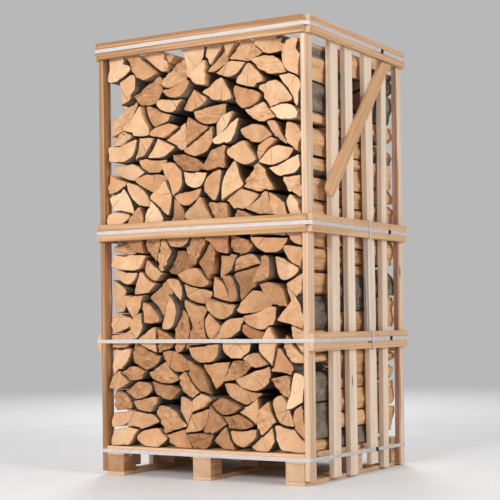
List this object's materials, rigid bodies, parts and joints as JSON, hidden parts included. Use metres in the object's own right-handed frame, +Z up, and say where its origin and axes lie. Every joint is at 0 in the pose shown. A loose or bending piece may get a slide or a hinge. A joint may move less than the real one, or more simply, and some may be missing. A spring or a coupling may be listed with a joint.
{
  "type": "firewood pallet",
  "caption": "Slatted crate on a block pallet, filled with stacked split beech firewood and held with straps; it is lifted by forks under the deck.",
  "frame": {"origin": "on the ground under the middle of the crate, at the underside of the middle runner", "axes": "+Z up, +X to the right along the front, +Y from the front to the rear"},
  "size_m": [1.1732, 1.0494, 2.05],
  "materials": {
    "pale_board": "sawn, unplaned softwood",
    "tan_board": "sawn, slightly darkened softwood",
    "brace_board": "sawn, slightly darkened softwood",
    "pallet_wood": "rough sawn softwood",
    "firewood": "sawn ends, split faces and grey bark",
    "strapping": "woven polyester strapping, satin",
    "buckle": "dark coated wire"
  },
  "bodies": {
    "root": {"runner_left": "pallet_wood", "runner_middle": "pallet_wood", "runner_right": "pallet_wood", "block_front_left": "pallet_wood", "block_front_middle": "pallet_wood", "block_front_right": "pallet_wood", "block_middle_left": "pallet_wood", "block_middle_middle": "pallet_wood", "block_middle_right": "pallet_wood", "block_rear_left": "pallet_wood", "block_rear_middle": "pallet_wood", "block_rear_right": "pallet_wood", "stringer_left": "pallet_wood", "stringer_middle": "pallet_wood", "stringer_right": "pallet_wood", "deck_board_1": "pallet_wood", "deck_board_2": "pallet_wood", "deck_board_3": "pallet_wood", "deck_board_4": "pallet_wood", "deck_board_5": "pallet_wood", "deck_board_6": "pallet_wood", "deck_board_7": "pallet_wood", "post_front_left": "pale_board", "post_front_right": "pale_board", "post_rear_left": "pale_board", "post_rear_right": "pale_board", "slat_left_1": "pale_board", "slat_left_2": "pale_board", "slat_left_3": "pale_board", "slat_left_4": "pale_board", "slat_right_1": "pale_board", "slat_right_2": "pale_board", "slat_right_3": "pale_board", "slat_right_4": "pale_board", "rail_top_left": "tan_board", "rail_middle_left": "tan_board", "rail_lower_left": "tan_board", "rail_top_right": "tan_board", "rail_middle_right": "tan_board", "rail_lower_right": "tan_board", "rail_top_front": "tan_board", "rail_middle_front": "tan_board", "rail_top_rear": "tan_board", "rail_middle_rear": "tan_board", "brace_right": "brace_board", "strap_top": "strapping", "strap_middle": "strapping", "strap_lower": "strapping", "strap_bottom": "strapping", "strap_tie_right": "strapping", "buckle_top": "buckle", "buckle_middle": "buckle", "buckle_lower": "buckle", "buckle_bottom": "buckle", "logs_front_row": "firewood", "logs_middle_row": "firewood", "logs_rear_row": "firewood"}
  },
  "joints": []
}
